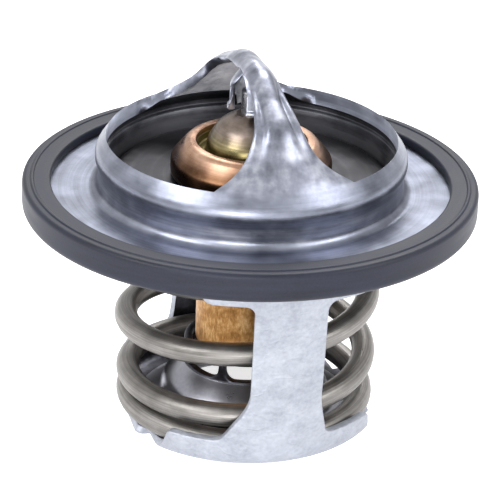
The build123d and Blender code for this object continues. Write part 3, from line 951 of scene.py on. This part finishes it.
def legOutline(line):
    # Half of the flat outline, from the left tab round the front leg to the right tab
    top = line["lengths"][-1]
    arm, flare, band = [lengthTo(line, "heights", legs[name]) for name in
                        ("armHeight", "flareHeight", "bandHeight")]
    reach = legs["tabReach"]
    side = legs["tabHalfLength"]
    foot = lengthTo(line, "radii", math.hypot(legs["bandFoot"], side))
    wide = legs["armHalfWidth"]
    corner = legs["cornerRounding"]
    sides = []
    for sign, edge, flared in ((-1, legs["left"], legs["flareLeft"]),
                               (1, legs["right"], legs["flareRight"])):
        sides.append([
            (sign * legs["bandFoot"], foot, 0),
            (sign * legs["bandTop"], band, legs["bandRounding"]),
            (sign * flared, band, corner),
            (sign * edge, flare, legs["flareRounding"]),
            (sign * edge - legs["taper"], arm, corner),
            (sign * wide, arm, corner),
            (sign * wide, top, legs["footRounding"]),
        ])
    corners = sides[0] + sides[1][::-1]
    leg = []
    for across, length in denser(roundedLine(corners), legs["edgeSpacing"]):
        leg.append(polar(length, math.asin(across / placeOn(line, length)[0])))
    corners = [(reach, 0, 0), (reach, -side, legs["tabRounding"]), (legs["bandFoot"], -side, 0)]
    tab = []
    for x, y in denser(roundedLine(corners), legs["edgeSpacing"]):
        length = lengthTo(line, "radii", math.hypot(x, y))
        tab.append(Vector((x, y)) * length / math.hypot(x, y))
    left = [Vector((-spot.x, spot.y)) for spot in tab]
    return left[:-1] + leg + tab[-2:0:-1]


def windowOutline(centre):
    # A window of the guide, between two spokes
    radius, top, _ = legs["profile"][0]
    half = (2 * math.pi * radius / legs["windows"] - legs["spokeWidth"]) / 2
    low = radius + top - legs["windowLow"]
    high = radius + top - legs["windowHigh"]
    wide = half + legs["windowSpread"]
    corners = [(-wide, high, legs["windowTopRounding"]), (wide, high, legs["windowTopRounding"]),
               (half, low, legs["windowRounding"]), (-half, low, legs["windowRounding"])]
    line = denser(roundedLine(corners, closed=True), legs["windowSpacing"], closed=True)
    return [polar(length, centre + across / radius) for across, length in line]


def spreadOf(loop, solidInside):
    # Unit vectors in the flat that point off the sheet, one for each point of a cut edge
    area = sum(a.x * b.y - b.x * a.y for a, b in zip(loop, loop[1:] + loop[:1]))
    sign = 1 if (area > 0) == solidInside else -1
    vectors = []
    for place in range(len(loop)):
        along = (loop[(place + 1) % len(loop)] - loop[place - 1]).normalized()
        vectors.append(Vector((along.y, -along.x)) * sign)
    return vectors


def onSheet(points, loops, free=0):
    # Which points lie inside the first loop, outside the others and this far from their corners
    kept = numpy.ones(len(points), bool)
    x, y = points.T
    for place, loop in enumerate(loops):
        right = numpy.full(len(points), place > 0)
        ring = numpy.array([tuple(spot) for spot in loop])
        for (x0, y0), (x1, y1) in zip(ring, numpy.roll(ring, -1, axis=0)):
            with numpy.errstate(divide="ignore", invalid="ignore"):
                edge = x0 + (y - y0) * (x1 - x0) / (y1 - y0)
            right ^= ((y < y0) != (y < y1)) & (x < edge)
            kept &= numpy.hypot(x - x0, y - y0) > free
        kept &= right
    return kept


def makeFrame():
    line = sheetLine(legs["profile"], legs["grid"])
    half = legOutline(line)
    outer = half + [-spot for spot in half]
    pitch = 2 * math.pi / legs["windows"]
    start = legs["profile"][0][0]
    count = legs["guideColumns"]
    holes = [[polar(start, 2 * math.pi * step / count) for step in range(count)]]
    for number in range(legs["windows"]):
        holes.append(windowOutline(legs["spokeCentre"] + pitch * (number + 0.5)))
    rounding = legs["edgeRounding"]
    loops = [(outer, spreadOf(outer, True))] + [(hole, spreadOf(hole, False)) for hole in holes]
    inset = [[spot - aim * rounding for spot, aim in zip(loop, aims)] for loop, aims in loops]
    spots = []
    for row, length in enumerate(line["lengths"][1:-1]):
        for column in range(legs["columns"]):
            angle = 2 * math.pi * (column + 0.5 * (row % 2)) / legs["columns"]
            spots.append((length * math.sin(angle), -length * math.cos(angle)))
    spots = numpy.array(spots)
    points = []
    edges = []
    for loop in inset:
        first = len(points)
        points += loop
        edges += [(first + step, first + (step + 1) % len(loop)) for step in range(len(loop))]
    points += [Vector(spot) for spot in spots[onSheet(spots, inset, legs["edgeFree"])]]
    flat, _, triangles, *_ = geometry.delaunay_2d_cdt(points, edges, [], 0, 1e-5)
    middles = numpy.array([tuple((flat[a] + flat[b] + flat[c]) / 3) for a, b, c in triangles])

    def bent(spot, depth):
        # A place in the flat at a depth under the sheet's upper face, in the bent frame
        length = spot.length
        radius, height, normalR, normalZ = placeOn(line, length)
        size, deepest, start, reach = legs["dents"]
        dents = deepest * min(1, max(0, (length - start) / reach)) + hump(length, *legs["deepDents"])
        dent = noise.noise(Vector((spot.x, spot.y, 3.0)) / size) * dents
        offset = legs["sheet"] / 2 - depth + dent
        angle = math.atan2(spot.x, -spot.y)
        return polar(radius + normalR * offset, angle, max(0, height + normalZ * offset))

    work = bmesh.new()
    thickness = legs["sheet"]
    upper = [work.verts.new(bent(spot, 0) * mm) for spot in flat]
    lower = [work.verts.new(bent(spot, thickness) * mm) for spot in flat]
    # Upper faces, on the inside of the legs, take the dark inside finish, which is painted shade
    for (a, b, c), solid in zip(triangles, onSheet(middles, inset)):
        if solid:
            work.faces.new((upper[a], upper[b], upper[c])).material_index = 1
            work.faces.new((lower[c], lower[b], lower[a]))
    # The cut edges, rounded over in a few steps from the upper face to the lower
    quarter = rounding * 0.3
    steps = [(rounding, 0), (quarter, quarter), (0, rounding), (0, thickness - rounding),
             (quarter, thickness - quarter), (rounding, thickness)]
    for loop, aims in loops:
        skin(work, [[work.verts.new(bent(spot - aim * inward, depth) * mm) for spot, aim in zip(loop, aims)]
                    for inward, depth in steps])
    bmesh.ops.remove_doubles(work, verts=work.verts, dist=legs["weld"] * mm)
    loose = [vertex for vertex in work.verts if not vertex.link_faces]
    bmesh.ops.delete(work, geom=loose, context="VERTS")
    bmesh.ops.recalc_face_normals(work, faces=work.faces)
    # In the dome the upper faces beyond the collar take the dome's finish; the collar and the undersides
    # keep the painted shade
    for face in work.faces:
        middle = face.calc_center_median() / mm
        reach = math.hypot(middle.x, middle.y)
        if reach < legs["domeReach"]:
            face.material_index = 2 if face.material_index == 1 and reach > legs["collarReach"] else 1
    bmesh.ops.rotate(work, verts=work.verts, matrix=Matrix.Rotation(turn, 3, "Z"))
    print("frame's open edges", sum(not edge.is_manifold for edge in work.edges))
    finishMesh("frame_pressing", meshOf(work, "frame"), [zincPlate, zincInsidePaintedShade, zincDome], "housing",
               ["frame"])


makeFrame()

# Solids that are shown as they are, with their finishes

finishes = {
    "valve_seal": sealRubber,
    "rubber_sleeve": sealRubber,
    "backup_washer": plastic,
    "wiper_ring": sealRubber,
    "wax_charge": wax,
}
for name, material in finishes.items():
    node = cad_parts[name]
    if node.material_slots:
        for materialSlot in node.material_slots:
            materialSlot.material = material
    else:
        node.data.materials.append(material)
print("finished the carried-over solids")

# Floor, light and camera

studio = {
    "floorSize": 4.0,
    "floorColour": "#e9e9ea",
    "floorLift": 0.75,
    "worldLight": 0.75,
    # Place in metres, size and power of each softbox, and the height that all of them face
    "lamps": [
        ((-0.42, -0.30, 0.42), 0.30, 2.4),
        ((0.45, -0.22, 0.36), 0.26, 1.5),
        ((-0.12, -0.62, 0.10), 0.30, 2.6),
        ((0.05, 0.45, 0.50), 0.30, 2.4),
    ],
    "lampsFace": 0.025,
}


def seenOutright(material):
    # 1 where the eye meets it, by itself, in a glossy reflection or through something clear
    path = addNode(material, "ShaderNodeLightPath").outputs
    seen = combine(material, "MAXIMUM", path["Is Camera Ray"], path["Is Glossy Ray"])
    return combine(material, "MAXIMUM", seen, path["Is Transmission Ray"])


def makeStudio():
    half = studio["floorSize"] / 2
    mesh = bpy.data.meshes.new("floor")
    corners = [(-half, -half, 0), (half, -half, 0), (half, half, 0), (-half, half, 0)]
    mesh.from_pydata(corners, [], [(0, 1, 2, 3)])
    floor = addObject("floor", mesh)
    material, shader = newMaterial("floorPaper", 0.0, 0.9)
    shader.inputs["Base Color"].default_value = toLinear(studio["floorColour"])
    shader.inputs["Specular IOR Level"].default_value = 0.0
    shader.inputs["Emission Color"].default_value = (1, 1, 1, 1)
    lift = combine(material, "MULTIPLY", seenOutright(material), studio["floorLift"])
    joinTo(material, lift, shader, "Emission Strength")
    mesh.materials.append(material)
    world = bpy.data.worlds.new("studio")
    bpy.context.scene.world = world
    world.use_nodes = True
    background = world.node_tree.nodes["Background"]
    background.inputs["Color"].default_value = (1, 1, 1, 1)
    level = addNode(world, "ShaderNodeMapRange", {"To Min": studio["worldLight"], "To Max": 1.0},
                    {"Value": seenOutright(world)})
    joinTo(world, level.outputs[0], background, "Strength")
    for place, (spot, size, power) in enumerate(studio["lamps"]):
        lamp = bpy.data.lights.new(f"softbox{place}", "AREA")
        lamp.size = size
        lamp.energy = power
        holder = addObject(f"softbox{place}", lamp)
        holder.location = spot
        aim = Vector((0, 0, studio["lampsFace"])) - Vector(spot)
        holder.rotation_euler = aim.to_track_quat("-Z", "Y").to_euler()
    print("made the studio")


makeStudio()

viewpoint = {
    "place": (0, -0.32062977, 0.16984433),
    "turned": (65.17049, -1.81071, 0.79890),
    "lens": 204.992,
    "sensor": 36,
}
camera = bpy.data.cameras.new("camera")
camera.lens = viewpoint["lens"]
camera.sensor_width = viewpoint["sensor"]
holder = addObject("camera", camera)
holder.location = viewpoint["place"]
holder.rotation_euler = [math.radians(angle) for angle in viewpoint["turned"]]
bpy.context.scene.camera = holder
bpy.context.scene.view_settings.view_transform = "Standard"
